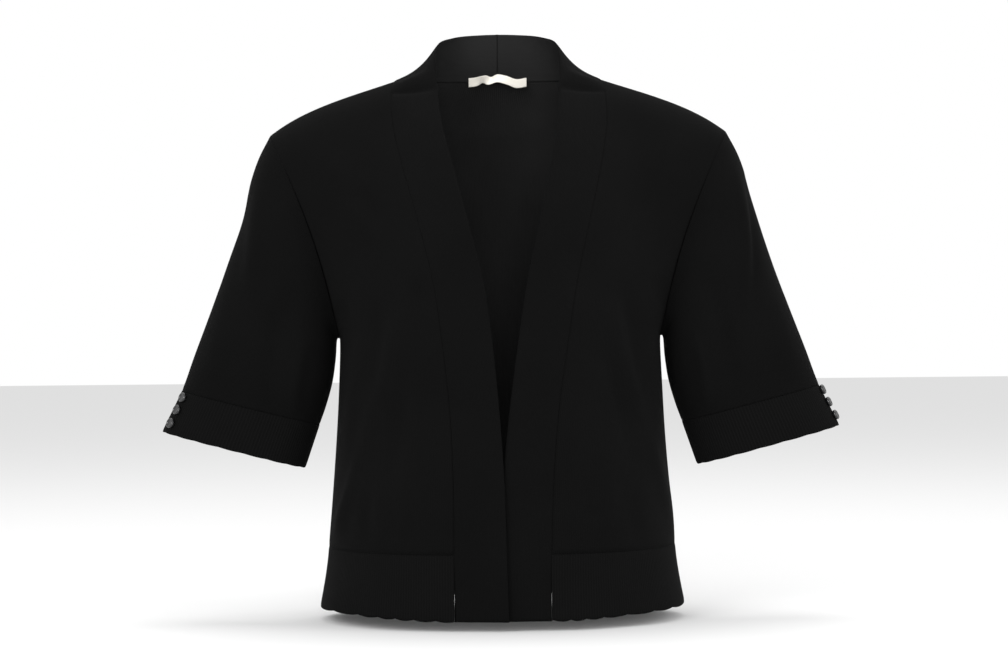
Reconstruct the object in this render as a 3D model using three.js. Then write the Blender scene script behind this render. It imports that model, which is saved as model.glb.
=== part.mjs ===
// A short open cardigan in fine black knit, held in the hollow shape that it has when it is worn.
// Millimetres, +Z up. The front faces -Y and the wearer's left side is +X. The origin lies midway
// between the two neck points of the shoulder seams, where the wearer's shoulders carry it.
import * as THREE from "three";

// Cloth walls and the gap that parts two pieces at a seam.
const PANEL_WALL = 1.6;
const BAND_WALL = 2.4;
const LABEL_WALL = 1;
const SEAM_GAP = 0.3;

// Heights of the garment's levels.
const HEM_Z = -495.5;
const HEM_RISE = 3.5; // the hem is this much higher at the sides
const RIB_SEAM_Z = -436;
const UNDERARM_Z = -242;

// The hem rib widens downwards by these shares, to the sides and from front to back.
const RIB_FLARE_SIDE = 0.052;
const RIB_FLARE_DEPTH = 0.015;

// How many steps each piece is worked out in. Pieces that share a seam take the same steps along
// it, so that their chords match.
const ROWS_PER_SECTION = 2;
const FRONT_STEPS = 18;
const BACK_STEPS = 30; // both halves together
const NECK_STEPS = 8; // how many of a half back's steps lie along its neckline
const SLEEVE_STEPS = 24;
const SLEEVE_ROWS = 9;
const CUFF_STEPS = 36;
const CUFF_ROWS = 2;
const BAND_STEPS = 3;
const RIB_ROWS = 1;
const LABEL_STEPS = 21;
const BUTTON_SIDES = 20;

// A table with named columns, one object for each row.
function table(columns, rows) {
  const names = columns.split(" ");
  return rows.map((row) => Object.fromEntries(names.map((name, i) => [name, row[i]])));
}

// The front band, from the hem up the front edge and round the neck to the centre back. Each row
// gives the point where it is sewn on, its free edge and how far the opening wanders to +X.
const BAND = table("seamX seamY seamZ edgeX edgeY edgeZ bow wander", [
  [43.3, -121, HEM_Z, -5.2, -123, HEM_Z, 0.5, 0.7],
  [43.5, -120, RIB_SEAM_Z, -3.4, -122, RIB_SEAM_Z, 0.8, 1],
  [44.7, -123, -371, -0.6, -126, -371, 1, 2.2],
  [48.6, -126, -306, 4.8, -129.5, -306, 1, 3.6],
  [56.6, -126, UNDERARM_Z, 12.2, -130, UNDERARM_Z, 1, 5],
  [64.6, -121, -190, 20, -126.5, -190, 1.2, 5.5],
  [79, -101, -130, 33.6, -114.5, -132, 1.5, 4.8],
  [91, -74, -83, 44.3, -93, -86, 1.5, 3.4],
  [98.6, -45, -45, 52.6, -66, -48, 1, 2],
  [99.6, -20, -14, 56.8, -30, -11, -1, 0.6],
  [97, 3, 0, 58.6, 2, 24, -4, 0],
  [91.5, 28, 2.5, 55.6, 30, 38.6, -3.5, 0],
  [76, 50, 4.5, 44, 55, 46, -2.5, 0],
  [47, 69, 5.4, 28, 68, 49.6, -2, 0],
  [0, 76, 5.5, 0, 73, 51, -2, 0],
  [-47, 69, 5.4, -28, 68, 49.6, -2, 0],
]);
const RIB_STATION = 1;
const NECK_STATION = 10;
const CENTRE_BACK_STATION = BAND.length - 2; // the row past it only keeps the back smooth
// The wearer's right band lies over the left one, and stands this far proud of it at its free edge.
const LAP_LIFT = [5.4, 4.6, 4, 2.6, 0.6];

// The side seam from the rib up to the underarm, one row for each of a panel's lowest sections.
const SIDE_SEAM = table("x z", [
  [162.5, RIB_SEAM_Z],
  [157, -371],
  [152.4, -306],
  [149.7, UNDERARM_Z],
]);

// Sections of a half front, one at each band station from the rib seam up. reach is the length of
// the cloth's run at the band, and back is its run at the side.
const FRONT = table("reach backX backY backZ", [
  [66, 0, -66, 0],
  [64, 0, -66, 0],
  [60, 0, -66, 0],
  [52, 0, -62, 0],
  [42, -2, -46, 2],
  [34, -14, -36, 9],
  [32, -28, -24, 15],
  [32, -34, -12, 18],
  [34, -34, -5, 19],
  [38, -31, 0, 25.9],
]);
const TOP_SECTION = FRONT.length - 1;
const SIDE_SECTIONS = SIDE_SEAM.length - 1; // the rest of the sections end on the armhole
const SHOULDER_RUN = new THREE.Vector3(36, 0, -12.2); // how the shoulder seam leaves the neck

// Sections of a half back at the same levels, from the centre back outwards.
const BACK = table("centreY centreZ reach backX backY backZ", [
  [101, RIB_SEAM_Z, 86, 0, 58, 0],
  [100, -371, 84, 0, 58, 0],
  [102, -306, 82, 0, 58, 0],
  [107, UNDERARM_Z, 80, 0, 56, 0],
  [110, -186, 78, -2, 44, 2],
  [110, -130, 74, -14, 36, 9],
  [107, -84, 72, -28, 26, 15],
  [101, -46, 70, -34, 14, 18],
  [91, -18, 68, -34, 5, 19],
  [76, 5.5, 66, -31, 0, 25.9],
]);
const NECK_SHARE = (2 * NECK_STEPS) / BACK_STEPS;
const YOKE_START = 5; // the section above which the back's rows bend to the neckline

// Rings of the sleeve, from the armhole to the cuff's edge. Each is given by its outermost and
// innermost point, its depth to the front and to the back, and how far its front is drawn in.
const SLEEVE = table("outerX outerZ innerX innerZ middleY front back inset", [
  [214, -50.5, 149.7, UNDERARM_Z, 1, 50, 54, 9],
  [228.5, -81, 153.4, -243.5, 1, 56, 58, 7],
  [245, -140, 154.6, -261, 0, 57, 57, 4],
  [265, -200, 157.6, -283, -2, 51, 50, 2],
  [286, -255, 163.6, -305, -4, 43, 42, 0],
  [298.5, -289, 169.6, -322, -5, 38, 36, 0],
  [317, -326.5, 183.3, -362, -6, 33, 31, 0],
]);
const SLEEVE_CROWDING = 1.15; // the sleeve's rows lie closer together towards its head
const CUFF_ROW = 5; // the row at which the cuff is sewn on
const CUFF_START = -5; // angle of the cuff's upper end, in degrees
const CUFF_LAP = 42; // how far its ends lie over each other, in degrees
const CUFF_RAMP = 26; // the angle in which the lower end dips under

// Buttons on the cuff.
const BUTTON_RADIUS = 4.8;
const BUTTON_HEIGHT = 3.4;
const BUTTON_ROWS = [0.14, 0.45, 0.77]; // shares of the cuff's depth, from its seam
const BUTTON_TURN_LEFT = 12;
const BUTTON_TURN_RIGHT = 26;

// The largest folds, as soft ridges (+) and troughs (-) between two places seen from the front.
const FRONT_FOLDS = table("side fromX fromZ toX toZ width height", [
  [-1, 106, -215, 116, -310, 12, -4],
  [-1, 92, -235, 134, -420, 12, 4],
  [-1, 78, -260, 95, -395, 11, -4],
  [-1, 138, -195, 143, -225, 12, -5],
  [-1, 150, -95, 108, -165, 18, 3],
  [-1, 128, -100, 104, -142, 14, -3],
  [1, 102, -200, 130, -310, 12, -4],
  [1, 92, -215, 126, -380, 12, 4],
  [1, 82, -250, 112, -390, 12, -4],
  [1, 143, -185, 146, -222, 12, -5],
  [1, 160, -85, 118, -165, 18, 3],
  [1, 100, -110, 96, -160, 14, -2.5],
]);
const BACK_FOLDS = table("side fromX fromZ toX toZ width height", [
  [-1, 118, -175, 96, -400, 13, -4.5],
  [-1, 82, -190, 58, -420, 14, 3.5],
  [-1, 30, -215, 36, -400, 13, -3],
  [1, 122, -190, 108, -410, 13, -4],
  [1, 76, -180, 70, -380, 14, 3.5],
  [1, 20, -230, 8, -420, 13, -3.5],
  [1, 150, -110, 110, -190, 15, -3],
  [-1, 148, -100, 104, -176, 15, -3],
]);

// The smooth value of one column at row position p, where 0 is the table's first row.
function read(rows, name, p) {
  const last = rows.length - 1;
  const i = Math.min(Math.max(Math.floor(p), 0), last - 1);
  const f = p - i;
  const b = rows[i][name];
  const c = rows[i + 1][name];
  const a = i > 0 ? rows[i - 1][name] : 2 * b - c;
  const d = i + 2 <= last ? rows[i + 2][name] : 2 * c - b;
  return b + 0.5 * f * (c - a + f * (2 * a - 5 * b + 4 * c - d + f * (3 * (b - c) + d - a)));
}

function point(rows, names, p) {
  return new THREE.Vector3(...names.split(" ").map((name) => read(rows, name, p)));
}

function ease(t) {
  const c = Math.min(Math.max(t, 0), 1);
  return c * c * (3 - 2 * c);
}

// A point on one ring of the sleeve: angle 0 is its outermost point and 90 degrees its front.
function sleevePoint(p, degrees) {
  const angle = THREE.MathUtils.degToRad(degrees);
  const c = Math.cos(angle);
  const s = Math.sin(angle);
  const outer = point(SLEEVE, "outerX middleY outerZ", p);
  const inner = point(SLEEVE, "innerX middleY innerZ", p);
  const depth = read(SLEEVE, s > 0 ? "front" : "back", p);
  const fullness = s + 0.08 * Math.sin(3 * angle);
  return outer
    .clone()
    .add(inner)
    .multiplyScalar(0.5)
    .addScaledVector(outer.clone().sub(inner), c / 2)
    .add(new THREE.Vector3(-read(SLEEVE, "inset", p) * s * s, -depth * fullness, 0));
}

// A point on a cubic curve from a to b that leaves a along leaveA and reaches b from b + backB.
function cubic(a, leaveA, b, backB, t) {
  const q = 1 - t;
  return a
    .clone()
    .multiplyScalar(q * q * q)
    .addScaledVector(a.clone().add(leaveA), 3 * q * q * t)
    .addScaledVector(b.clone().add(backB), 3 * q * t * t)
    .addScaledVector(b, t * t * t);
}

// How far the folds in a table lift the cloth at x (towards the side that is meant) and z.
function foldLift(folds, side, x, z) {
  let lift = 0;
  for (const f of folds.filter((fold) => fold.side === side)) {
    const dx = f.toX - f.fromX;
    const dz = f.toZ - f.fromZ;
    const along = ((x - f.fromX) * dx + (z - f.fromZ) * dz) / (dx * dx + dz * dz);
    const t = Math.min(Math.max(along, 0), 1);
    const off = Math.hypot(x - f.fromX - t * dx, z - f.fromZ - t * dz);
    const taper = Math.sin(Math.PI * (0.12 + 0.76 * t));
    lift += f.height * taper * Math.exp(-((off / f.width) ** 2));
  }
  return lift;
}

// A point of a half panel's section, run(u), moved out by the folds that pass over it. turn is 1
// where the outside lies to the right of the run as seen from above.
function lifted(folds, side, turn, run, u) {
  const made = run(u);
  const step = run(Math.min(u + 0.01, 1)).sub(run(Math.max(u - 0.01, 0)));
  const lift = foldLift(folds, side, Math.abs(made.x), made.z) * Math.sqrt(Math.sin(Math.PI * u));
  const length = Math.hypot(step.x, step.y);
  made.x += (turn * step.y * lift) / length;
  made.y -= (turn * step.x * lift) / length;
  return made;
}

// The outermost point of a half front or half back at section p: on the side seam or the armhole.
function sidePoint(p, direction) {
  if (p <= SIDE_SECTIONS) {
    return new THREE.Vector3(read(SIDE_SEAM, "x", p), 1, read(SIDE_SEAM, "z", p));
  }
  const turn = (180 * (TOP_SECTION - p)) / (TOP_SECTION - SIDE_SECTIONS);
  return sleevePoint(0, direction * turn);
}

// The band's seam and free edge at a station, on the wearer's left (side 1) or right (side -1).
function bandSeam(side, p) {
  const seam = point(BAND, "seamX seamY seamZ", p);
  seam.x = side * seam.x + read(BAND, "wander", p);
  return seam;
}

function bandEdge(side, p) {
  const edge = point(BAND, "edgeX edgeY edgeZ", p);
  const i = Math.floor(p);
  const lift = (k) => (k < LAP_LIFT.length ? LAP_LIFT[k] : 0);
  edge.x = side * edge.x + read(BAND, "wander", p);
  if (side < 0) {
    edge.y -= THREE.MathUtils.lerp(lift(i), lift(i + 1), p - i);
  }
  return edge;
}

// A half front's outer face: u runs from the band to the side, and p is the section.
function frontPoint(side, u, p) {
  const station = p + RIB_STATION;
  const seam = bandSeam(side, station);
  const leave = seam.clone().sub(bandEdge(1, station).setX(side * read(BAND, "edgeX", station)));
  leave.x -= read(BAND, "wander", station);
  leave.y *= ease((NECK_STATION - station) / 2);
  const neckRun = SHOULDER_RUN.clone();
  neckRun.x *= side;
  leave.setLength(read(FRONT, "reach", p));
  leave.lerp(neckRun, ease(station - NECK_STATION + 2));
  const outer = sidePoint(p, 1);
  const back = point(FRONT, "backX backY backZ", p);
  outer.x *= side;
  back.x *= side;
  return lifted(FRONT_FOLDS, side, side, (w) => cubic(seam, leave, outer, back, w), u);
}

// The back's top edge on one half: the neckline and then the shoulder seam.
function backTop(u) {
  if (u < NECK_SHARE) {
    return bandSeam(1, THREE.MathUtils.lerp(CENTRE_BACK_STATION, NECK_STATION, u / NECK_SHARE));
  }
  const t = (u - NECK_SHARE) / (1 - NECK_SHARE);
  return frontPoint(1, t, TOP_SECTION);
}

// The back's outer face: u runs from -1 at the wearer's right to 1 at the left.
function backPoint(u, p) {
  const side = u < 0 ? -1 : 1;
  const w = Math.abs(u);
  const row = (q, t) =>
    cubic(
      new THREE.Vector3(0, read(BACK, "centreY", q), read(BACK, "centreZ", q)),
      new THREE.Vector3(read(BACK, "reach", q), 0, 0),
      sidePoint(q, -1),
      point(BACK, "backX backY backZ", q),
      t,
    );
  const top = BACK.length - 1;
  const share = Math.max((p - YOKE_START) / (top - YOKE_START), 0) ** 2;
  const run = (t) => row(p, t).addScaledVector(backTop(t).sub(row(top, t)), share);
  const made = lifted(BACK_FOLDS, side, -1, run, w);
  made.x *= side;
  return made;
}

// The hem rib below a half front or the back: it carries the panel's lowest section on down.
function ribPoint(panelPoint, drop) {
  const made = panelPoint.clone();
  const towardSide = ease((Math.abs(made.x) - 50) / 100);
  const bottom = HEM_Z + (made.y < 0 ? HEM_RISE * towardSide : HEM_RISE / 2);
  made.x *= 1 + RIB_FLARE_SIDE * towardSide * drop ** 1.4;
  made.y *= 1 + RIB_FLARE_DEPTH * drop;
  made.z = THREE.MathUtils.lerp(RIB_SEAM_Z - SEAM_GAP, bottom, drop);
  return made;
}

// A closed wall under an outer face. face(i, j) gives that face's points in steps across and
// along; the wall lies on the inner side, and round walls join up across.
function wall(name, material, face, across, along, thickness, round = false) {
  const wide = round ? across : across + 1;
  const outer = [];
  for (let j = 0; j <= along; j += 1) {
    outer.push(Array.from({ length: wide }, (_, i) => face(i / across, j / along)));
  }
  const at = (i, j) => outer[j][round ? (i + wide) % wide : Math.min(Math.max(i, 0), wide - 1)];
  const normal = (i, j) => {
    const alongUp = outer[Math.min(j + 1, along)][i].clone().sub(outer[Math.max(j - 1, 0)][i]);
    return at(i + 1, j).clone().sub(at(i - 1, j)).cross(alongUp).normalize();
  };
  const vertices = [];
  const layers = [0, thickness];
  for (const depth of layers) {
    for (let j = 0; j <= along; j += 1) {
      for (let i = 0; i < wide; i += 1) {
        vertices.push(...outer[j][i].clone().addScaledVector(normal(i, j), -depth).toArray());
      }
    }
  }
  const index = (layer, i, j) => layer * wide * (along + 1) + j * wide + (i % wide);
  const faces = [];
  const corner = (k) => new THREE.Vector3().fromArray(vertices, 3 * k);
  // Each four-sided patch is split along its shorter diagonal, which keeps slanting folds even.
  const quad = (a, b, c, d) => {
    if (corner(a).distanceTo(corner(c)) > corner(b).distanceTo(corner(d))) {
      faces.push(a, b, d, b, c, d);
    } else {
      faces.push(a, b, c, a, c, d);
    }
  };
  const cells = round ? wide : wide - 1;
  for (let j = 0; j < along; j += 1) {
    for (let i = 0; i < cells; i += 1) {
      quad(index(0, i, j), index(0, i + 1, j), index(0, i + 1, j + 1), index(0, i, j + 1));
      quad(index(1, i, j), index(1, i, j + 1), index(1, i + 1, j + 1), index(1, i + 1, j));
    }
  }
  for (let i = 0; i < cells; i += 1) {
    quad(index(0, i, 0), index(1, i, 0), index(1, i + 1, 0), index(0, i + 1, 0));
    quad(index(0, i, along), index(0, i + 1, along), index(1, i + 1, along), index(1, i, along));
  }
  for (let j = 0; j < along && !round; j += 1) {
    const e = wide - 1;
    quad(index(0, 0, j), index(0, 0, j + 1), index(1, 0, j + 1), index(1, 0, j));
    quad(index(0, e, j), index(1, e, j), index(1, e, j + 1), index(0, e, j + 1));
  }
  const geometry = new THREE.BufferGeometry();
  geometry.setAttribute("position", new THREE.Float32BufferAttribute(vertices, 3));
  geometry.setIndex(faces);
  geometry.computeVertexNormals();
  const mesh = new THREE.Mesh(geometry, material);
  mesh.name = name;
  return mesh;
}

// The same face seen in a mirror needs its steps across run the other way.
function turned(side, face) {
  return side > 0 ? face : (s, t) => face(1 - s, t);
}

const knit = new THREE.MeshStandardMaterial({ color: 0x17171a, roughness: 0.92, metalness: 0 });
const bandKnit = new THREE.MeshStandardMaterial({ color: 0x19191c, roughness: 0.9, metalness: 0 });
const buttonBlack = new THREE.MeshStandardMaterial({ color: 0x0c0c0d, roughness: 0.25 });
const labelTape = new THREE.MeshStandardMaterial({ color: 0xe9e3d5, roughness: 0.8 });

// How far a piece stops short of its seams, as shares of its width or of a section.
const SIDE_INSET = 0.001;
const SHOULDER_INSET = 0.02;
const BAND_INSET = 0.004;
const NECK_INSET = 0.02;
const CENTRE_BACK_INSET = 0.012;
const ARMHOLE_INSET = 0.02;
const CUFF_INSET = 0.01;
const CUFF_SEAM = 0.002;
const PANEL_ROWS = ROWS_PER_SECTION * TOP_SECTION;
const BAND_ROWS = ROWS_PER_SECTION * CENTRE_BACK_STATION;
const between = THREE.MathUtils.lerp;

// The section of a panel at height share t; only the topmost row is drawn in, to its seam.
function panelSection(t) {
  return Math.min(t * TOP_SECTION, TOP_SECTION - SHOULDER_INSET);
}

function frontPanel(side) {
  const face = (s, t) =>
    frontPoint(side, between(SIDE_INSET, 1 - SIDE_INSET, s), panelSection(t));
  const name = side > 0 ? "front_left" : "front_right";
  return wall(name, knit, turned(side, face), FRONT_STEPS, PANEL_ROWS, PANEL_WALL);
}

function backPanel() {
  const face = (s, t) => backPoint(between(1 - SIDE_INSET, SIDE_INSET - 1, s), panelSection(t));
  return wall("back", knit, face, BACK_STEPS, PANEL_ROWS, PANEL_WALL);
}

function frontRib(side) {
  const face = (s, t) => ribPoint(frontPoint(side, between(SIDE_INSET, 1 - SIDE_INSET, s), 0), 1 - t);
  const name = side > 0 ? "hem_rib_front_left" : "hem_rib_front_right";
  return wall(name, knit, turned(side, face), FRONT_STEPS, RIB_ROWS, PANEL_WALL);
}

function backRib() {
  const face = (s, t) => ribPoint(backPoint(between(1 - SIDE_INSET, SIDE_INSET - 1, s), 0), 1 - t);
  return wall("hem_rib_back", knit, face, BACK_STEPS, RIB_ROWS, PANEL_WALL);
}

// One front band: s runs from its seam to its free edge, and t from the hem to the centre back.
function frontBand(side) {
  const face = (s, t) => {
    const p = Math.min(t * CENTRE_BACK_STATION, CENTRE_BACK_STATION - CENTRE_BACK_INSET);
    const seam = bandSeam(side, p);
    const edge = bandEdge(side, p);
    const w = between(p < NECK_STATION - 0.5 ? BAND_INSET : NECK_INSET, 1, s);
    const step = bandSeam(side, Math.min(p + 0.05, CENTRE_BACK_STATION)).sub(
      bandSeam(side, Math.max(p - 0.05, 0)),
    );
    const out = edge.clone().sub(seam).cross(step).normalize().multiplyScalar(-side);
    return seam.lerp(edge, w).addScaledVector(out, read(BAND, "bow", p) * Math.sin(Math.PI * w));
  };
  const name = side > 0 ? "front_band_left" : "front_band_right";
  return wall(name, bandKnit, turned(-side, face), BAND_STEPS, BAND_ROWS, BAND_WALL);
}

function sleeve(side) {
  const face = (s, t) => {
    const made = sleevePoint(between(ARMHOLE_INSET, CUFF_ROW - CUFF_INSET, t ** SLEEVE_CROWDING), 360 * s);
    made.x *= side;
    return made;
  };
  const name = side > 0 ? "sleeve_left" : "sleeve_right";
  return wall(name, knit, turned(side, face), SLEEVE_STEPS, SLEEVE_ROWS, PANEL_WALL, true);
}

// The cuff is a strip round the end of the sleeve, and its lower end dips under its upper one.
function cuffPoint(p, degrees) {
  const made = sleevePoint(p, degrees);
  const middle = sleevePoint(p, 0).add(sleevePoint(p, 180)).multiplyScalar(0.5);
  const dip = ease((degrees - 360 - CUFF_START + CUFF_RAMP) / CUFF_RAMP);
  const inward = middle.sub(made).normalize();
  return made.addScaledVector(inward, dip * (PANEL_WALL + 2 * SEAM_GAP));
}

function cuff(side) {
  const sweep = 360 + CUFF_LAP;
  const face = (s, t) => {
    const made = cuffPoint(between(CUFF_ROW + CUFF_SEAM, CUFF_ROW + 1, t), CUFF_START + sweep * s);
    made.x *= side;
    return made;
  };
  const name = side > 0 ? "cuff_left" : "cuff_right";
  return wall(name, knit, turned(side, face), CUFF_STEPS, CUFF_ROWS, PANEL_WALL);
}

// A round button with a raised rim, seated on the cuff where its ends lie over each other.
function button(side, share, name) {
  const profile = [
    [0, 0],
    [0.72, 0],
    [0.97, 0.3],
    [1, 0.62],
    [0.9, 0.95],
    [0.76, 1],
    [0.6, 0.86],
    [0, 0.74],
  ].map(([r, h]) => new THREE.Vector2(r * BUTTON_RADIUS, h * BUTTON_HEIGHT));
  const mesh = new THREE.Mesh(new THREE.LatheGeometry(profile, BUTTON_SIDES), buttonBlack);
  const p = CUFF_ROW + share;
  const turn = side > 0 ? BUTTON_TURN_LEFT : BUTTON_TURN_RIGHT;
  const seat = sleevePoint(p, turn);
  const round = sleevePoint(p, turn + 2).sub(sleevePoint(p, turn - 2));
  const down = sleevePoint(p + 0.05, turn).sub(sleevePoint(p - 0.05, turn));
  const out = round.cross(down).normalize();
  seat.addScaledVector(out, SEAM_GAP);
  seat.x *= side;
  out.x *= side;
  mesh.position.copy(seat);
  mesh.quaternion.setFromUnitVectors(new THREE.Vector3(0, 1, 0), out);
  mesh.name = name;
  return mesh;
}

// The neck label: a short tape sewn down at both ends, slack enough to buckle between them.
const LABEL = table("x y z lean", [
  [-28, -1.6, 0, 0],
  [-21, -6, 0.5, -10],
  [-14, -10, 2.5, -42],
  [-7, -7, 1.5, 30],
  [0, -9, 3.5, 24],
  [9, -9, 1.5, 12],
  [18, -6, -1.5, 4],
  [28, -1.6, 0, 0],
]);
const LABEL_HEIGHT = 8.6;
const NECK_HALF_WIDTH = 97;
const NECK_DEPTH = 75;

function neckLabel() {
  const centreBack = bandSeam(1, CENTRE_BACK_STATION);
  const face = (s, t) => {
    const p = (1 - t) * (LABEL.length - 1);
    const lean = THREE.MathUtils.degToRad(read(LABEL, "lean", p));
    const up = (0.5 - s) * LABEL_HEIGHT;
    const x = read(LABEL, "x", p);
    const curve = -0.5 * (x / NECK_HALF_WIDTH) ** 2 * NECK_DEPTH;
    return new THREE.Vector3(
      x,
      centreBack.y - PANEL_WALL + curve + read(LABEL, "y", p) + up * Math.sin(lean),
      centreBack.z - 1 + read(LABEL, "z", p) + up * Math.cos(lean),
    );
  };
  return wall("neck_label", labelTape, face, 1, LABEL_STEPS, LABEL_WALL);
}

const cardigan = new THREE.Group();
cardigan.name = "cardigan";
cardigan.add(backPanel(), backRib(), neckLabel());
for (const side of [1, -1]) {
  const word = side > 0 ? "left" : "right";
  cardigan.add(frontPanel(side), frontRib(side), frontBand(side), sleeve(side), cuff(side));
  BUTTON_ROWS.forEach((share, i) => {
    cardigan.add(button(side, share, `button_${word}_${i + 1}`));
  });
}

export default cardigan;
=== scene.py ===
import math

import bmesh
import bpy
import numpy as np
from mathutils import Matrix, Vector


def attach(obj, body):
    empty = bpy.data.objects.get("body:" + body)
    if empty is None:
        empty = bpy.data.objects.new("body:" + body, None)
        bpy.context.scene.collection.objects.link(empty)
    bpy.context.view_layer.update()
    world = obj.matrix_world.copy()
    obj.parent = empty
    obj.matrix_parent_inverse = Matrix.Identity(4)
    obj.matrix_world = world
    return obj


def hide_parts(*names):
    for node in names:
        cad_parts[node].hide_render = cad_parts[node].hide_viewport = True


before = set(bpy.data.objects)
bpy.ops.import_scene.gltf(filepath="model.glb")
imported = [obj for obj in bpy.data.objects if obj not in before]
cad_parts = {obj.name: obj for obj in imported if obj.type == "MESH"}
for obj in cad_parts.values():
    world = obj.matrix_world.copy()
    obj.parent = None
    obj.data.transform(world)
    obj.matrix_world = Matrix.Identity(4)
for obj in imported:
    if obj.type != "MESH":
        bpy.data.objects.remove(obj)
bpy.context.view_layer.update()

MM = 0.001


# BACK PANEL
# One piece of fine black jersey, knitted flat and curved over the shoulder blades.
# It is linked to the fronts at the shoulders and sides, and carries the neckline.
# Sizes are in millimetres, from the point midway between the shoulder seams' neck ends.
HEM_Z = -495.5
RIB_SEAM_Z = -436
UNDERARM_Z = -242
CLOTH = 0.9  # thickness of the jersey


def table(columns, rows):
    """Measurements kept by name, each one a column with a value for every row."""
    names = columns.split()
    return {name: [row[i] for row in rows] for i, name in enumerate(names)}


def read(rows, name, p):
    """A column's value at row position p, on a smooth curve through the rows."""
    column = rows[name]
    last = len(column) - 1
    i = min(max(int(math.floor(p)), 0), last - 1)
    f = p - i
    b, c = column[i], column[i + 1]
    a = column[i - 1] if i > 0 else 2 * b - c
    d = column[i + 2] if i + 2 <= last else 2 * c - b
    return b + 0.5 * f * (c - a + f * (2 * a - 5 * b + 4 * c - d + f * (3 * (b - c) + d - a)))


def point(rows, names, p):
    return Vector([read(rows, name, p) for name in names.split()])


def ease(t):
    c = min(max(t, 0.0), 1.0)
    return c * c * (3 - 2 * c)


def mix(low, high, t):
    return low + (high - low) * t


# The front band's seam, its free edge, its bow and how far the opening wanders to the left, from
# the hem up to the centre back. The back's neckline and the fronts' inner edges follow its seam.
BAND = table("seamX seamY seamZ edgeX edgeY edgeZ bow wander", [
    (43.3, -121, HEM_Z, -5.2, -123, HEM_Z, 0.5, 0.7),
    (43.5, -120, RIB_SEAM_Z, -3.4, -122, RIB_SEAM_Z, 0.8, 1),
    (44.7, -123, -371, -0.6, -126, -371, 1, 2.2),
    (48.6, -126, -306, 4.8, -129.5, -306, 1, 3.6),
    (56.6, -126, UNDERARM_Z, 12.2, -130, UNDERARM_Z, 1, 5),
    (64.6, -121, -190, 20, -126.5, -190, 1.2, 5.5),
    (79, -101, -130, 33.6, -114.5, -132, 1.5, 4.8),
    (91, -74, -83, 44.3, -93, -86, 1.5, 3.4),
    (98.6, -45, -45, 52.6, -66, -48, 1, 2),
    (99.6, -20, -14, 56.8, -30, -11, -1, 0.6),
    (97, 3, 0, 58.6, 2, 24, -4, 0),
    (91.5, 28, 2.5, 55.6, 30, 38.6, -3.5, 0),
    (76, 50, 4.5, 44, 55, 46, -2.5, 0),
    (47, 69, 5.4, 28, 68, 49.6, -2, 0),
    (0, 76, 5.5, 0, 73, 51, -2, 0),
    (-47, 69, 5.4, -28, 68, 49.6, -2, 0),
])
RIB_STATION = 1
NECK_STATION = 10
CENTRE_BACK_STATION = 14
LAP_LIFT = (5.4, 4.6, 4, 2.6, 0.6)  # how far the right band's edge stands over the left one

# Rings of the sleeve from the armhole down. The panels' side edges follow the first of them.
SLEEVE = table("outerX outerZ innerX innerZ middleY front back inset", [
    (214, -50.5, 149.7, UNDERARM_Z, 1, 50, 54, 9),
    (228.5, -81, 153.4, -243.5, 1, 56, 58, 7),
    (245, -140, 154.6, -261, 0, 57, 57, 4),
    (265, -200, 157.6, -283, -2, 51, 50, 2),
    (286, -255, 163.6, -305, -4, 43, 42, 0),
    (298.5, -289, 169.6, -322, -5, 38, 36, 0),
    (317, -326.5, 183.3, -362, -6, 33, 31, 0),
])
SLEEVE_FULLNESS = 0.08  # how much squarer than an ellipse a ring is, front and back
CUFF_ROW = 5
SIDE_SEAM = table("x z", [
    (162.5, RIB_SEAM_Z), (157, -371), (152.4, -306), (149.7, UNDERARM_Z),
])
# Sections of a half front and a half back, from the rib seam to the shoulder: how far the cloth
# runs on from its inner edge, and the way it comes in to the side seam or the armhole.
FRONT = table("reach backX backY backZ", [
    (66, 0, -66, 0), (64, 0, -66, 0), (60, 0, -66, 0), (52, 0, -62, 0), (42, -2, -46, 2),
    (34, -14, -36, 9), (32, -28, -24, 15), (32, -34, -12, 18), (34, -34, -5, 19),
    (38, -31, 0, 25.9),
])
TOP_SECTION = 9
SIDE_SECTIONS = 3
BACK = table("centreY centreZ reach backX backY backZ", [
    (101, RIB_SEAM_Z, 86, 0, 58, 0), (100, -371, 84, 0, 58, 0), (102, -306, 82, 0, 58, 0),
    (107, UNDERARM_Z, 80, 0, 56, 0), (110, -186, 78, -2, 44, 2), (110, -130, 74, -14, 36, 9),
    (107, -84, 72, -28, 26, 15), (101, -46, 70, -34, 14, 18), (91, -18, 68, -34, 5, 19),
    (76, 5.5, 66, -31, 0, 25.9),
])
SHOULDER_RUN = (36, 0, -12.2)  # the way the left shoulder seam leaves the neck
NECK_SHARE = 16 / 30  # how much of a half back's top edge is neckline
YOKE_START = 5  # the section above which the back bends to the neckline


def sleeve_point(p, degrees):
    """A point on a ring of the left sleeve: 0 degrees is its outermost point, 90 its front."""
    angle = math.radians(degrees)
    c, s = math.cos(angle), math.sin(angle)
    outer = point(SLEEVE, "outerX middleY outerZ", p)
    inner = point(SLEEVE, "innerX middleY innerZ", p)
    depth = read(SLEEVE, "front" if s > 0 else "back", p)
    out = (outer + inner) / 2 + (outer - inner) * (c / 2)
    out.x -= read(SLEEVE, "inset", p) * s * s
    out.y -= depth * (s + SLEEVE_FULLNESS * math.sin(3 * angle))
    return out


def side_point(p, direction):
    """The outermost point of a section: direction is 1 on a front and -1 on the back."""
    if p <= SIDE_SECTIONS:
        return Vector((read(SIDE_SEAM, "x", p), 1, read(SIDE_SEAM, "z", p)))
    return sleeve_point(0, direction * 180 * (TOP_SECTION - p) / (TOP_SECTION - SIDE_SECTIONS))


def cubic(a, leave, b, back, t):
    """A point on a curve that leaves a along leave and comes in to b from b + back."""
    q = 1 - t
    return a * q**3 + (a + leave) * (3 * q * q * t) + (b + back) * (3 * q * t * t) + b * t**3


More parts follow.
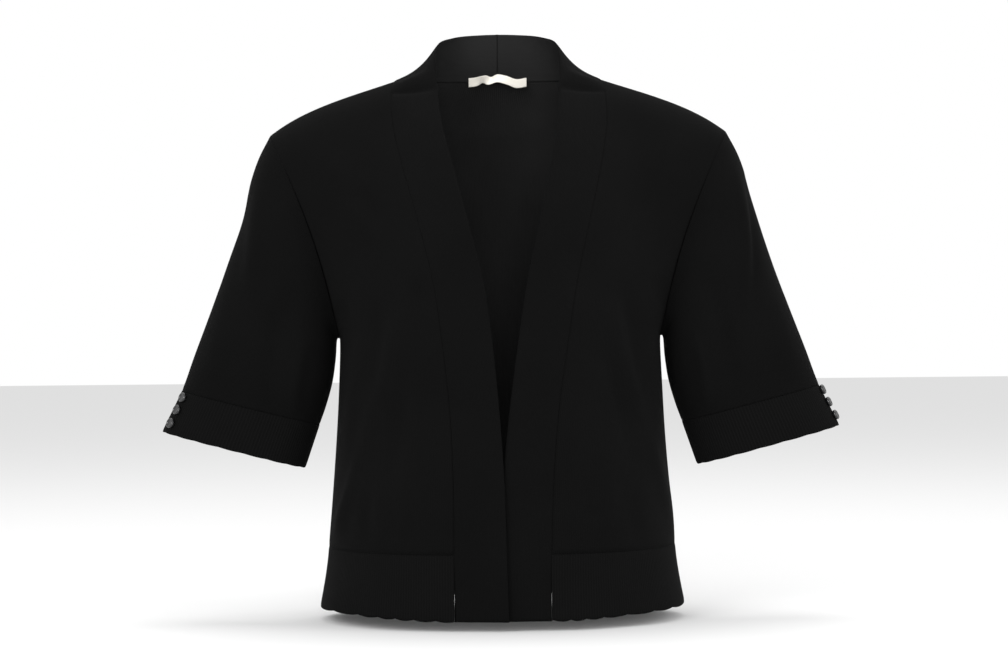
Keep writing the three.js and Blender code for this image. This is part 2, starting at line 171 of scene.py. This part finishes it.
def band_seam(side, p):
    seam = point(BAND, "seamX seamY seamZ", p)
    seam.x = side * seam.x + read(BAND, "wander", p)
    return seam


def band_edge(side, p):
    edge = point(BAND, "edgeX edgeY edgeZ", p)
    edge.x = side * edge.x + read(BAND, "wander", p)
    if side < 0:
        i = int(math.floor(p))
        low, high = (LAP_LIFT[k] if k < len(LAP_LIFT) else 0 for k in (i, i + 1))
        edge.y -= mix(low, high, p - i)
    return edge


def front_point(side, u, p):
    """The outside of a half front: u runs from its band to the side, p up its sections."""
    station = p + RIB_STATION
    seam = band_seam(side, station)
    edge = band_edge(1, station)
    edge.x = side * read(BAND, "edgeX", station)
    leave = seam - edge
    leave.x -= read(BAND, "wander", station)
    leave.y *= ease((NECK_STATION - station) / 2)
    leave = leave.normalized() * read(FRONT, "reach", p)
    run, level, fall = SHOULDER_RUN
    leave = leave.lerp(Vector((run * side, level, fall)), ease(station - NECK_STATION + 2))
    outer, back = side_point(p, 1), point(FRONT, "backX backY backZ", p)
    outer.x *= side
    back.x *= side
    return cubic(seam, leave, outer, back, u)


def back_row(q, t):
    return cubic(
        Vector((0, read(BACK, "centreY", q), read(BACK, "centreZ", q))),
        Vector((read(BACK, "reach", q), 0, 0)),
        side_point(q, -1),
        point(BACK, "backX backY backZ", q),
        t,
    )


def back_top(u):
    """The back's top edge on its left half: the neckline and then the shoulder seam."""
    if u < NECK_SHARE:
        return band_seam(1, mix(CENTRE_BACK_STATION, NECK_STATION, u / NECK_SHARE))
    return front_point(1, (u - NECK_SHARE) / (1 - NECK_SHARE), TOP_SECTION)


def back_point(u, p):
    """The outside of the back: u runs from -1 at the wearer's right to 1 at the left."""
    w = abs(u)
    out = back_row(p, w)
    share = max((p - YOKE_START) / (TOP_SECTION - YOKE_START), 0) ** 2
    if share:
        out += (back_top(w) - back_row(TOP_SECTION, w)) * share
    out.x *= -1 if u < 0 else 1
    return out


def grid_normals(grid, ring):
    """Which way the cloth faces at each of its points."""
    if ring:
        across = np.roll(grid, -1, 1) - np.roll(grid, 1, 1)
    else:
        across = np.gradient(grid, axis=1)
    normal = np.cross(across, np.gradient(grid, axis=0))
    return normal / np.maximum(np.linalg.norm(normal, axis=2, keepdims=True), 1e-9)


def relax(grid, rounds, ring):
    """Evens the cloth out a little between its seams, which stay where they are."""
    for _ in range(rounds):
        mean = (np.roll(grid, 1, 0) + np.roll(grid, -1, 0)) / 4
        mean += (np.roll(grid, 1, 1) + np.roll(grid, -1, 1)) / 4
        if ring:
            grid[1:-1] = mean[1:-1]
        else:
            grid[1:-1, 1:-1] = mean[1:-1, 1:-1]
    return grid


CREASE_STEPS = 14  # straight pieces in a bent crease
CREASE_END = 0.06  # how much of a crease's taper lies past each of its ends


def crease_lift(creases, x, z):
    """How far creases lift the cloth at x and z. Each one is a soft ridge (height over 0) or
    trough along a bent line: three points, its width and its height."""
    lift = np.zeros_like(x)
    for ax, az, bx, bz, cx, cz, width, height in creases:
        best = np.full_like(x, np.inf)
        along = np.zeros_like(x)
        for k in range(CREASE_STEPS):
            t0, t1 = k / CREASE_STEPS, (k + 1) / CREASE_STEPS
            line = [
                ((1 - t) ** 2 * a + 2 * t * (1 - t) * (2 * b - (a + c) / 2) + t * t * c)
                for t in (t0, t1)
                for a, b, c in ((ax, bx, cx), (az, bz, cz))
            ]
            dx, dz = line[2] - line[0], line[3] - line[1]
            f = np.clip(((x - line[0]) * dx + (z - line[1]) * dz) / (dx * dx + dz * dz), 0, 1)
            off = np.hypot(x - line[0] - f * dx, z - line[1] - f * dz)
            near = off < best
            best = np.where(near, off, best)
            along = np.where(near, t0 + f / CREASE_STEPS, along)
        taper = np.sin(np.pi * mix(CREASE_END, 1 - CREASE_END, along)) ** 0.8
        lift += height * taper * np.exp(-((best / width) ** 2))
    return lift


CREASE_FADE = 9  # creases flatten out within about this distance of a seam
TUCK_WIDTH = 1.6


def shell(name, face, across, along, wall, ring=False, creases=(), smooth=0, tuck=0.5):
    """A closed thin shell whose outside is face(s, t), with creases lifted along its normal.
    Its flat coordinates, in metres, are kept for the knit. Sewn edges are tucked in a little."""
    wide = across if ring else across + 1
    grid = np.array([
        [face(i / across, j / along) for i in range(wide)] for j in range(along + 1)
    ])
    grid = relax(grid, smooth, ring)
    normal = grid_normals(grid, ring)
    lengths = np.linalg.norm(np.diff(grid, axis=1), axis=2).mean() * across
    heights = np.linalg.norm(np.diff(grid, axis=0), axis=2).mean() * along
    j, i = np.meshgrid(np.arange(along + 1) / along, np.arange(wide) / across, indexing="ij")
    edge = np.minimum(j, 1 - j) * heights
    if not ring:
        edge = np.minimum(edge, np.minimum(i, 1 - i) * lengths)
    lift = np.zeros(j.shape)
    if len(creases):
        lift = crease_lift(creases, grid[..., 0], grid[..., 2])
        lift *= 1 - np.exp(-((edge / CREASE_FADE) ** 2))
    lift -= tuck * np.exp(-edge / TUCK_WIDTH)
    grid = grid + normal * lift[..., None]
    normal = grid_normals(grid, ring)
    layers = np.stack([grid, grid - normal * wall]) * MM
    size = wide * (along + 1)

    def at(layer, a, b):
        return layer * size + b * wide + a % wide

    cells = wide if ring else wide - 1
    faces, places, inner = [], [], []

    def quad(corners, uv):
        faces.append(corners)
        places.extend(uv)

    for b in range(along):
        for a in range(cells):
            ring_uv = [(a, b), (a + 1, b), (a + 1, b + 1), (a, b + 1)]
            quad([at(0, *c) for c in ring_uv], ring_uv)
            quad([at(1, *c) for c in ring_uv[::-1]], ring_uv[::-1])
            inner.append(len(faces) - 1)
    for a in range(cells):
        quad([at(0, a, 0), at(1, a, 0), at(1, a + 1, 0), at(0, a + 1, 0)],
             [(a, 0), (a, 0), (a + 1, 0), (a + 1, 0)])
        quad([at(0, a, along), at(0, a + 1, along), at(1, a + 1, along), at(1, a, along)],
             [(a, along), (a + 1, along), (a + 1, along), (a, along)])
    for b in range(0 if ring else along):
        e = wide - 1
        quad([at(0, 0, b), at(0, 0, b + 1), at(1, 0, b + 1), at(1, 0, b)],
             [(0, b), (0, b + 1), (0, b + 1), (0, b)])
        quad([at(0, e, b), at(1, e, b), at(1, e, b + 1), at(0, e, b + 1)],
             [(e, b), (e, b), (e, b + 1), (e, b + 1)])
    mesh = bpy.data.meshes.new(name)
    mesh.from_pydata(layers.reshape(-1, 3).tolist(), [], faces)
    flat = mesh.uv_layers.new(name="Flat")
    scale = np.array([lengths / across, heights / along]) * MM
    flat.data.foreach_set("uv", (np.array(places, float) * scale).ravel())
    mesh.polygons.foreach_set("use_smooth", [True] * len(faces))
    for k in inner:
        mesh.polygons[k].material_index = 1
    mesh.update()
    made = bpy.data.objects.new(name, mesh)
    bpy.context.scene.collection.objects.link(made)
    return made


def turned(side, face):
    """The same face on the other side of the garment runs across the other way."""
    return face if side > 0 else lambda s, t: face(1 - s, t)


class Wire:
    """A shader value that adds, multiplies, divides and takes powers like a number."""

    def __init__(self, recipe, socket):
        self.recipe, self.socket = recipe, socket

    def join(self, operation, first, second=None):
        values = {0: first} if second is None else {0: first, 1: second}
        return self.recipe.node("ShaderNodeMath", {"operation": operation}, values)[0]

    def __add__(self, other):
        return self.join("ADD", self, other)

    def __radd__(self, other):
        return self.join("ADD", other, self)

    def __mul__(self, other):
        return self.join("MULTIPLY", self, other)

    def __rmul__(self, other):
        return self.join("MULTIPLY", other, self)

    def __truediv__(self, other):
        return self.join("DIVIDE", self, other)

    def __rtruediv__(self, other):
        return self.join("DIVIDE", other, self)

    def __pow__(self, other):
        return self.join("POWER", self, other)

    def __rpow__(self, other):
        return self.join("POWER", other, self)

    def __abs__(self):
        return self.join("ABSOLUTE", self)

    def sine(self):
        return self.join("SINE", self)

    def pingpong(self, top):
        return self.join("PINGPONG", self, top)


class Recipe:
    """A material's node tree."""

    def __init__(self, name):
        self.material = bpy.data.materials.new(name)
        self.material.use_nodes = True
        self.tree = self.material.node_tree
        self.surface = self.tree.nodes["Principled BSDF"]

    def node(self, kind, settings, values):
        made = self.tree.nodes.new(kind)
        for key, value in settings.items():
            setattr(made, key, value)
        self.set(made, values)
        return [Wire(self, socket) for socket in made.outputs]

    def set(self, made, values):
        for key, value in values.items():
            if isinstance(value, Wire):
                self.tree.links.new(value.socket, made.inputs[key])
            else:
                made.inputs[key].default_value = value

    def flat(self):
        """Flat coordinates of the cloth, in millimetres across and along."""
        uv = self.node("ShaderNodeUVMap", {"uv_map": "Flat"}, {})[0]
        across, along, _ = self.node("ShaderNodeSeparateXYZ", {}, {"Vector": uv})
        return across * (1 / MM), along * (1 / MM)

    def noise(self, scale, detail=2.0):
        place = self.node("ShaderNodeTexCoord", {}, {})[3]
        values = {"Vector": place, "Scale": scale, "Detail": detail}
        return self.node("ShaderNodeTexNoise", {}, values)[0]

    def blend(self, share, low, high):
        """The colour between low and high at share, on the colour sockets of a Mix node."""
        node = self.node("ShaderNodeMix", {"data_type": "RGBA"}, {0: share, 6: low, 7: high})
        return node[2]

    def bump(self, height, distance):
        values = {"Height": height, "Distance": distance, "Strength": 1.0}
        return self.node("ShaderNodeBump", {}, values)[0]


# The two ends of the knit's colour: the darker end is painted shade in the stitches' hollows and
# the lighter end is painted light on their tops. The colour also moves between them in random
# patches, which is the yarn's own colour.
SHADED_HOLLOW_AND_DARK_PATCH_YARN = (0.0019, 0.0019, 0.0019)
LIT_TOP_AND_LIGHT_PATCH_YARN = (0.0054, 0.0054, 0.0054)


def knit_finish(name, wale, course, relief, rib=0.0, painted_lightening=1.0):
    """Fine matt wool-like yarn. wale and course are a stitch's width and height in mm, relief is
    its depth, and rib is the spacing of raised ribs, or 0 for plain knit. painted_lightening
    lightens it all, as painted light. Its colour is darker in the stitches' hollows and lighter
    on their tops, which is painted shade and light, and it also differs in random patches."""
    recipe = Recipe(name)
    across, along = recipe.flat()
    leg = (across / wale).pingpong(0.5)
    column = abs((across * (math.pi / wale)).sine())
    loop = ((along / course + leg * 1.1) * (2 * math.pi)).sine() * 0.5 + 0.5
    height = column * (loop * 0.5 + 0.5)
    if rib:
        ridge = ((across * (2 * math.pi / rib)).sine() * 0.5 + 0.5) ** 0.7
        height = height * 0.45 + ridge
    fuzz = recipe.noise(900.0, 3.0)
    patch = recipe.noise(14.0, 2.0)
    height = height + fuzz * 0.5
    dark, lit = ([c * painted_lightening for c in yarn] + [1] for yarn in (SHADED_HOLLOW_AND_DARK_PATCH_YARN, LIT_TOP_AND_LIGHT_PATCH_YARN))
    # Painted shade in the stitch hollows and painted light on the stitch tops, mixed with random
    # patches of colour.
    stitch_shade_and_tone = recipe.blend(height * 0.32 + patch * 0.45, dark, lit)
    recipe.set(recipe.surface, {
        "Base Color": stitch_shade_and_tone,
        "Roughness": 0.88 + patch * 0.1,
        "Specular IOR Level": 0.025,
        "Sheen Weight": 0.006,
        "Sheen Roughness": 0.5,
        "Normal": recipe.bump(height, relief * MM),
    })
    return recipe.material


JERSEY = knit_finish("Black jersey", 1.25, 0.95, 0.22)
# The cloth's inside is painted 4.4 times lighter. This is painted light, standing in for the
# light that barely reaches into the hollow garment.
INSIDE_WITH_PAINTED_LIGHT = knit_finish("Black jersey, inside painted lighter", 1.25, 0.95, 0.22, painted_lightening=4.4)


def dress(piece, node, slot, finish):
    """Gives a sheet its finish, outside and inside, puts it under the root body and hides the
    imported part that it stands in for.
    """
    piece.data.materials.append(finish)
    # Every inside but the label's takes the copy of the knit with painted light.
    piece.data.materials.append(INSIDE_WITH_PAINTED_LIGHT if slot != "label" else finish)
    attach(piece, "root")
    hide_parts(node)


BACK_CREASES = [
    (-118, -175, -110, -290, -96, -405, 11, -4.0),
    (-82, -190, -72, -300, -58, -420, 12, 3.2),
    (-30, -215, -36, -300, -36, -405, 11, -2.8),
    (122, -190, 116, -300, 108, -415, 11, -3.6),
    (76, -180, 75, -290, 70, -385, 12, 3.2),
    (20, -230, 12, -330, 8, -420, 11, -3.2),
    (150, -110, 132, -150, 110, -190, 13, -2.8),
    (-148, -100, -128, -136, -104, -176, 13, -2.8),
    (-60, -30, 0, -46, 58, -28, 13, -2.0),
    (-140, -300, -136, -350, -142, -400, 8, 2.2),
    (138, -290, 134, -340, 140, -405, 8, 2.2),
    (48, -300, 44, -350, 40, -425, 7, 1.8),
    (-12, -330, -14, -380, -8, -428, 7, 1.6),
]


SIDE_INSET = 0.0006  # shares of a section by which a panel stops short of its seams
SHOULDER_INSET = 0.004
PANEL_ROWS = 110
PANEL_SMOOTHING = 26


def back_face(s, t):
    u = mix(1 - SIDE_INSET, SIDE_INSET - 1, s)
    return back_point(u, t * (TOP_SECTION - SHOULDER_INSET))


back = shell("Back", back_face, 150, PANEL_ROWS, CLOTH, creases=BACK_CREASES,
             smooth=PANEL_SMOOTHING)
dress(back, "back", "knit", JERSEY)


# HALF FRONTS
# The same jersey, one half front on each side. Each hangs from the shoulder and the band, so
# long soft creases fall from the chest and the armhole towards the hem.
FRONT_CREASES = {
    -1: [
        (-108, -215, -112, -255, -116, -300, 9, -4.2),
        (-93, -228, -113, -300, -130, -362, 9, 3.4),
        (-130, -355, -142, -390, -150, -430, 5, 3.0),
        (-144, -391, -150, -410, -155, -430, 4, 1.8),
        (-79, -258, -92, -315, -98, -378, 9, -4.0),
        (-145, -205, -144, -218, -142, -232, 9, -4.5),
        (-126, -236, -134, -290, -140, -340, 7, 2.6),
        (-129, -104, -118, -120, -106, -136, 9, -2.8),
        (-158, -74, -132, -116, -108, -160, 13, 2.8),
        (-150, -112, -134, -130, -118, -146, 8, 2.0),
        (-70, -190, -71, -200, -70, -212, 6, -2.0),
        (-70, -300, -72, -350, -66, -420, 9, 2.2),
        (-118, -375, -122, -400, -120, -432, 6, -2.2),
        (-86, -395, -90, -412, -88, -432, 6, 1.6),
    ],
    1: [
        (108, -198, 120, -232, 128, -292, 9, -4.2),
        (94, -206, 112, -268, 130, -330, 9, 3.4),
        (86, -248, 104, -290, 118, -362, 8, -3.6),
        (150, -186, 150, -200, 149, -218, 9, -4.5),
        (134, -330, 146, -370, 162, -428, 6, 2.8),
        (178, -60, 154, -96, 132, -138, 12, 2.8),
        (150, -90, 134, -120, 122, -150, 8, -2.0),
        (72, -398, 84, -400, 98, -398, 3, -1.4),
        (64, -290, 68, -350, 62, -425, 9, 2.0),
        (120, -380, 118, -405, 124, -432, 7, -2.0),
        (96, -360, 98, -395, 92, -430, 7, 1.8),
        (138, -232, 142, -280, 144, -330, 7, 2.4),
    ],
}


def front_panel(side):
    def face(s, t):
        u = mix(SIDE_INSET, 1 - SIDE_INSET, s)
        return front_point(side, u, t * (TOP_SECTION - SHOULDER_INSET))

    name = "Left_front" if side > 0 else "Right_front"
    return shell(name, turned(side, face), 96, PANEL_ROWS, CLOTH,
                 creases=FRONT_CREASES[side], smooth=PANEL_SMOOTHING)


for side, node in ((1, "front_left"), (-1, "front_right")):
    dress(front_panel(side), node, "knit", JERSEY)


# FRONT BANDS
# A doubled strip of close plain knit, linked to each front edge. Above the chest it creases over
# the shoulder's neck point and stands up as a collar. The right one laps the left at the hem.
BAND_KNIT = knit_finish("Black band knit", 1.3, 1.0, 0.26)
BAND_WALL = 1.7
BAND_START = 0.001  # shares of the band's width: just clear of its seam on the front,
COLLAR_START = -0.012  # and a little past it round the neck
CREASE_STATION = 9.05
CREASE_DEPTH, CREASE_WIDTH = 2.6, 0.11
ROLL_HEIGHT, ROLL_WIDTH, ROLL_ABOVE_CREASE = 3.4, 0.26, 0.42
BANDS = {}


def front_band(side):
    def face(s, t):
        p = t * CENTRE_BACK_STATION
        seam, edge = band_seam(side, p), band_edge(side, p)
        w = mix(COLLAR_START if p > NECK_STATION - 1 else BAND_START, 1, s)
        step = band_seam(side, min(p + 0.05, CENTRE_BACK_STATION))
        step -= band_seam(side, max(p - 0.05, 0))
        out = (edge - seam).cross(step).normalized() * -side
        arch = math.sin(math.pi * min(max(w, 0), 1))
        above = p - CREASE_STATION
        bow = read(BAND, "bow", p) * arch
        bow -= CREASE_DEPTH * math.exp(-((above / CREASE_WIDTH) ** 2)) * arch**0.4
        over = (above - ROLL_ABOVE_CREASE) / ROLL_WIDTH
        bow += ROLL_HEIGHT * math.exp(-(over**2)) * arch
        return seam.lerp(edge, w) + out * bow

    name = "Left_front_band" if side > 0 else "Right_front_band"
    return shell(name, turned(-side, face), 22, 260, BAND_WALL, tuck=0.35)


for side, node in ((1, "front_band_left"), (-1, "front_band_right")):
    BANDS[side] = front_band(side)
    dress(BANDS[side], node, "band", BAND_KNIT)


# HEM RIB
# A knitted rib in three pieces below the panels. Its lower edge is a small uneven scallop.
RIB_KNIT = knit_finish("Black rib knit", 1.2, 1.0, 0.3, rib=2.4)
RIB_CLOTH = CLOTH + 0.2
RIB_ROWS = 24
RIB_BAND_INSET = 0.0002  # the share of its width by which a front rib clears the band
HEM_RISE = 3.5  # the hem is this much higher at the sides
RIB_FLARE_SIDE, RIB_FLARE_DEPTH = 0.052, 0.015
SCALLOP, SCALLOP_DEPTH = 16.5, 1.5
EDGE_RISE = 1.1  # keeps the scallops' tips close to the hem line
WAVE = 0.7  # how far the edge waves in and out


def scallop(x):
    """The hem's uneven waves: how far the edge drops at x."""
    warp = 0.9 * math.sin(x / 37) + 0.6 * math.sin(x / 14.3 + 1)
    return SCALLOP_DEPTH * abs(math.sin(math.pi * x / SCALLOP + warp)) ** 0.7


def rib_point(base, drop):
    """The rib below a point of a panel's lowest edge: drop runs from 0 at its seam to 1."""
    toward_side = ease((abs(base.x) - 50) / 100)
    bottom = HEM_Z + (HEM_RISE * toward_side if base.y < 0 else HEM_RISE / 2) + EDGE_RISE
    out = base.copy()
    out.x *= 1 + RIB_FLARE_SIDE * toward_side * drop**1.4
    out.y *= 1 + RIB_FLARE_DEPTH * drop
    out.z = mix(RIB_SEAM_Z - 0.1, bottom, drop) - scallop(base.x * 1.04) * drop**6
    wave = WAVE * math.sin(base.x / 9.1 + 0.4 * math.sin(base.x / 23)) * drop**2
    out.y += wave if base.y > 0 else -wave
    return out


def front_rib(side):
    def face(s, t):
        u = mix(RIB_BAND_INSET, 1 - SIDE_INSET, s)
        out = rib_point(front_point(side, u, 0), 1 - t)
        follow = band_seam(side, t) - band_seam(side, RIB_STATION)
        return out + Vector((follow.x, follow.y * 0.5, 0)) * (1 - s) ** 2

    name = "Left_front_hem_rib" if side > 0 else "Right_front_hem_rib"
    return shell(name, turned(side, face), 150, RIB_ROWS, RIB_CLOTH)


def back_rib_face(s, t):
    return rib_point(back_point(mix(1 - SIDE_INSET, SIDE_INSET - 1, s), 0), 1 - t)


for side, node in ((1, "hem_rib_front_left"), (-1, "hem_rib_front_right")):
    dress(front_rib(side), node, "rib", RIB_KNIT)
back_rib = shell("Back_hem_rib", back_rib_face, 260, RIB_ROWS, RIB_CLOTH)
dress(back_rib, "hem_rib_back", "rib", RIB_KNIT)


# SLEEVES
# A short set-in sleeve of the same jersey on each side, linked into the armhole. It hangs out
# and down from the shoulder, hollow, with soft dents and ridges where the arm would bend.
SLEEVE_CREASES = {
    1: [
        (221, -92, 229, -150, 226, -215, 5, 2.6),
        (230, -96, 236, -150, 234, -215, 4, -2.6),
        (190, -190, 205, -240, 214, -300, 10, -3.0),
        (252, -200, 262, -240, 272, -285, 11, 2.2),
        (178, -240, 186, -270, 190, -312, 6, 2.4),
    ],
    -1: [
        (-236, -108, -240, -150, -246, -205, 8, -2.4),
        (-222, -96, -226, -140, -230, -200, 8, 2.2),
        (-190, -195, -206, -245, -212, -300, 10, -3.0),
        (-256, -205, -262, -245, -276, -288, 10, 2.0),
        (-180, -244, -186, -272, -192, -312, 6, 2.4),
    ],
}


SLEEVE_CROWDING = 1.1  # the rows lie a little closer together towards the armhole
ARMHOLE_INSET, CUFF_INSET = 0.004, 0.003


def sleeve(side):
    def face(s, t):
        p = mix(ARMHOLE_INSET, CUFF_ROW - CUFF_INSET, t**SLEEVE_CROWDING)
        out = sleeve_point(p, 360 * s)
        out.x *= side
        return out

    name = "Left_sleeve" if side > 0 else "Right_sleeve"
    return shell(name, turned(side, face), 150, 84, CLOTH, ring=True,
                 creases=SLEEVE_CREASES[side], smooth=6)


for side, node in ((1, "sleeve_left"), (-1, "sleeve_right")):
    dress(sleeve(side), node, "knit", JERSEY)


# CUFFS
# A strip of rib knit round the end of each sleeve. One of its ends dips under the other at the
# outer edge, where three buttons hold the two together.
CUFF_START = -5  # these three are angles round the cuff, in degrees
CUFF_LAP = 42
CUFF_RAMP = 26
CUFF_SEAM = 0.002
CUFF_DIP = 2
CUFF_SCALLOP = 0.5
CUFF_CLOTH = CLOTH + 0.3


def cuff_face(side):
    def face(s, t):
        p = mix(CUFF_ROW + CUFF_SEAM, CUFF_ROW + 1, t)
        degrees = CUFF_START + (360 + CUFF_LAP) * s
        out = sleeve_point(p, degrees)
        middle = (sleeve_point(p, 0) + sleeve_point(p, 180)) / 2
        dip = ease((degrees - 360 - CUFF_START + CUFF_RAMP) / CUFF_RAMP)
        out += (middle - out).normalized() * dip * CUFF_DIP
        out.z -= CUFF_SCALLOP * abs(math.sin(math.radians(degrees) * 9)) * t**5
        out.x *= side
        return out

    return turned(side, face)


for side, node, name in ((1, "cuff_left", "Left_cuff"), (-1, "cuff_right", "Right_cuff")):
    piece = shell(name, cuff_face(side), 170, 22, CUFF_CLOTH, tuck=0.35)
    dress(piece, node, "rib", RIB_KNIT)


# BUTTONS
# Small round buttons of polished black plastic, with a raised rim round a low flat middle.
# Three are sewn to each cuff, one below another, where its ends lie over each other.
BUTTON_RADIUS = 4.8
BUTTON_HEIGHT = 3.4
BUTTON_GAP = 0.3
BUTTON_SEGMENTS = 40
BUTTON_ROWS = (0.14, 0.45, 0.77)  # shares of the cuff's depth, from its seam
BUTTON_TURN = {1: 12, -1: 26}  # degrees round the cuff, on the left and on the right
BUTTON_PROFILE = [
    (0, 0), (0.7, 0), (0.86, 0.1), (0.96, 0.28), (1, 0.5), (0.99, 0.68), (0.94, 0.86),
    (0.86, 0.97), (0.78, 1), (0.7, 0.95), (0.63, 0.84), (0.5, 0.76), (0.3, 0.74), (0, 0.74),
]
button_recipe = Recipe("Polished black plastic")
button_recipe.set(button_recipe.surface, {
    "Base Color": (0.006, 0.006, 0.0065, 1),
    "Roughness": 0.2 + button_recipe.noise(260.0) * 0.12,
    "Coat Weight": 0.25,
    "Normal": button_recipe.bump(button_recipe.noise(380.0), 0.00003),
})


def button(side, share, name):
    """One button, turned from its profile and seated square on the cuff."""
    angles = [2 * math.pi * k / BUTTON_SEGMENTS for k in range(BUTTON_SEGMENTS)]
    rows = [
        [(r * BUTTON_RADIUS * math.cos(a), r * BUTTON_RADIUS * math.sin(a), h * BUTTON_HEIGHT)
         for a in angles]
        for r, h in BUTTON_PROFILE[1:-1]
    ]
    made = bmesh.new()
    rings = [[made.verts.new(Vector(c) * MM) for c in row] for row in rows]
    for low, high in zip(rings, rings[1:]):
        for k in range(BUTTON_SEGMENTS):
            n = (k + 1) % BUTTON_SEGMENTS
            made.faces.new((low[k], low[n], high[n], high[k]))
    made.faces.new(rings[0][::-1])
    made.faces.new(rings[-1])
    for face in made.faces:
        face.smooth = len(face.verts) == 4
    mesh = bpy.data.meshes.new(name)
    made.to_mesh(mesh)
    made.free()
    p, turn = CUFF_ROW + share, BUTTON_TURN[side]
    seat = sleeve_point(p, turn)
    round_ = sleeve_point(p, turn + 2) - sleeve_point(p, turn - 2)
    down = sleeve_point(p + 0.05, turn) - sleeve_point(p - 0.05, turn)
    out = round_.cross(down).normalized()
    seat += out * BUTTON_GAP
    seat.x *= side
    out.x *= side
    piece = bpy.data.objects.new(name, mesh)
    turn_up = out.to_track_quat("Z", "Y").to_matrix().to_4x4()
    piece.matrix_world = Matrix.Translation(seat * MM) @ turn_up
    bpy.context.scene.collection.objects.link(piece)
    mesh.materials.append(button_recipe.material)
    return piece


for side, word in ((1, "left"), (-1, "right")):
    for i, share in enumerate(BUTTON_ROWS):
        piece = button(side, share, f"Cuff_button_{word}_{i + 1}")
        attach(piece, "root")
        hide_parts(f"button_{word}_{i + 1}")


# NECK LABEL
# A short length of cream ribbon inside the back neck, sewn down at both ends. It is left slack,
# so it buckles between them, and it is bare.
LABEL = table("x y z lean", [
    (-28, -1.6, 0, 0), (-21, -6, 0.5, -10), (-14, -10, 2.5, -42), (-7, -7, 1.5, 30),
    (0, -9, 3.5, 24), (9, -9, 1.5, 12), (18, -6, -1.5, 4), (28, -1.6, 0, 0),
])
LABEL_HEIGHT = 8.6
LABEL_DROP = 1
BACK_WALL = 1.6  # the label lies inside the back's wall
NECK_HALF_WIDTH, NECK_BOW = 97, 37.5
WEFT_SPACING, WARP_SPACING = 0.5, 0.7
ribbon_recipe = Recipe("Cream ribbon")
weft, warp = ribbon_recipe.flat()
weave = ((weft * (2 * math.pi / WEFT_SPACING)).sine() * 0.5 + 0.5) * 0.6
weave = weave + ((warp * (2 * math.pi / WARP_SPACING)).sine() * 0.5 + 0.5) * 0.4
ribbon_recipe.set(ribbon_recipe.surface, {
    "Base Color": ribbon_recipe.blend(weave, (0.78, 0.74, 0.66, 1), (0.88, 0.85, 0.78, 1)),
    "Roughness": 0.5 + weave * 0.1,
    "Sheen Weight": 0.2,
    "Normal": ribbon_recipe.bump(weave, 0.00005),
})


def label_face(s, t):
    p = (1 - t) * (len(LABEL["x"]) - 1)
    lean = math.radians(read(LABEL, "lean", p))
    up = (0.5 - s) * LABEL_HEIGHT
    x = read(LABEL, "x", p)
    seam = band_seam(1, CENTRE_BACK_STATION)
    neck_y = seam.y - BACK_WALL - NECK_BOW * (x / NECK_HALF_WIDTH) ** 2
    return Vector((
        x,
        neck_y + read(LABEL, "y", p) + up * math.sin(lean),
        seam.z - LABEL_DROP + read(LABEL, "z", p) + up * math.cos(lean),
    ))


label = shell("Neck_label", label_face, 8, 90, 0.35, tuck=0)
dress(label, "neck_label", "label", ribbon_recipe.material)


# FLOOR, LIGHT AND CAMERA
# A plain white floor in a white room, broad soft lights in front and above, and one camera.
# The view is left untoned, so that white stays white.
floor_recipe = Recipe("White floor")
floor_recipe.set(floor_recipe.surface, {
    "Base Color": (0.74, 0.74, 0.74, 1), "Roughness": 0.9, "Specular IOR Level": 0.0,
})
FLOOR_DROP = 9  # millimetres from the hem down to the floor
FLOOR_CORNERS = ((-9, -6), (9, -6), (9, 12), (-9, 12))  # metres
made = bmesh.new()
for x, y in FLOOR_CORNERS:
    made.verts.new((x, y, (HEM_Z - FLOOR_DROP) * MM))
made.verts.ensure_lookup_table()
made.faces.new(list(made.verts))
floor_mesh = bpy.data.meshes.new("Floor")
made.to_mesh(floor_mesh)
made.free()
floor_mesh.materials.append(floor_recipe.material)
floor = bpy.data.objects.new("Floor", floor_mesh)
bpy.context.scene.collection.objects.link(floor)

world = bpy.data.worlds.new("White room")
bpy.context.scene.world = world
world.use_nodes = True
world.node_tree.nodes["Background"].inputs["Color"].default_value = (1, 1, 1, 1)
world.node_tree.nodes["Background"].inputs["Strength"].default_value = 1.0


def lamp(name, place, target, size, power):
    """A broad soft light at place, in metres, that faces target."""
    data = bpy.data.lights.new(name, "AREA")
    data.shape, data.size, data.size_y, data.energy = "RECTANGLE", size[0], size[1], power
    made = bpy.data.objects.new(name, data)
    made.location = place
    made.rotation_mode = "QUATERNION"
    made.rotation_quaternion = (Vector(target) - Vector(place)).to_track_quat("-Z", "Y")
    bpy.context.scene.collection.objects.link(made)


lamp("Key light", (-1.3, -2.2, 1.0), (0, 0, -0.25), (1.3, 1.3), 30)
lamp("Side light", (2.2, -0.7, 0.5), (0, 0, -0.25), (0.9, 1.6), 16)
lamp("Top light", (0, 0.4, 2.2), (0, 0, -0.3), (1.6, 1.2), 22)
lamp("Front light", (0.1, -3.0, 0.1), (0, 0, -0.2), (0.8, 0.8), 30)

bpy.context.scene.view_settings.view_transform = "Standard"
camera_data = bpy.data.cameras.new("Camera")
camera_data.lens = 87.4
camera_data.sensor_width = 36
camera = bpy.data.objects.new("Camera", camera_data)
camera.location = (0.0038, -2.3, -0.241)
camera.rotation_euler = (math.pi / 2, 0.0098, 0)
bpy.context.scene.collection.objects.link(camera)
bpy.context.scene.camera = camera
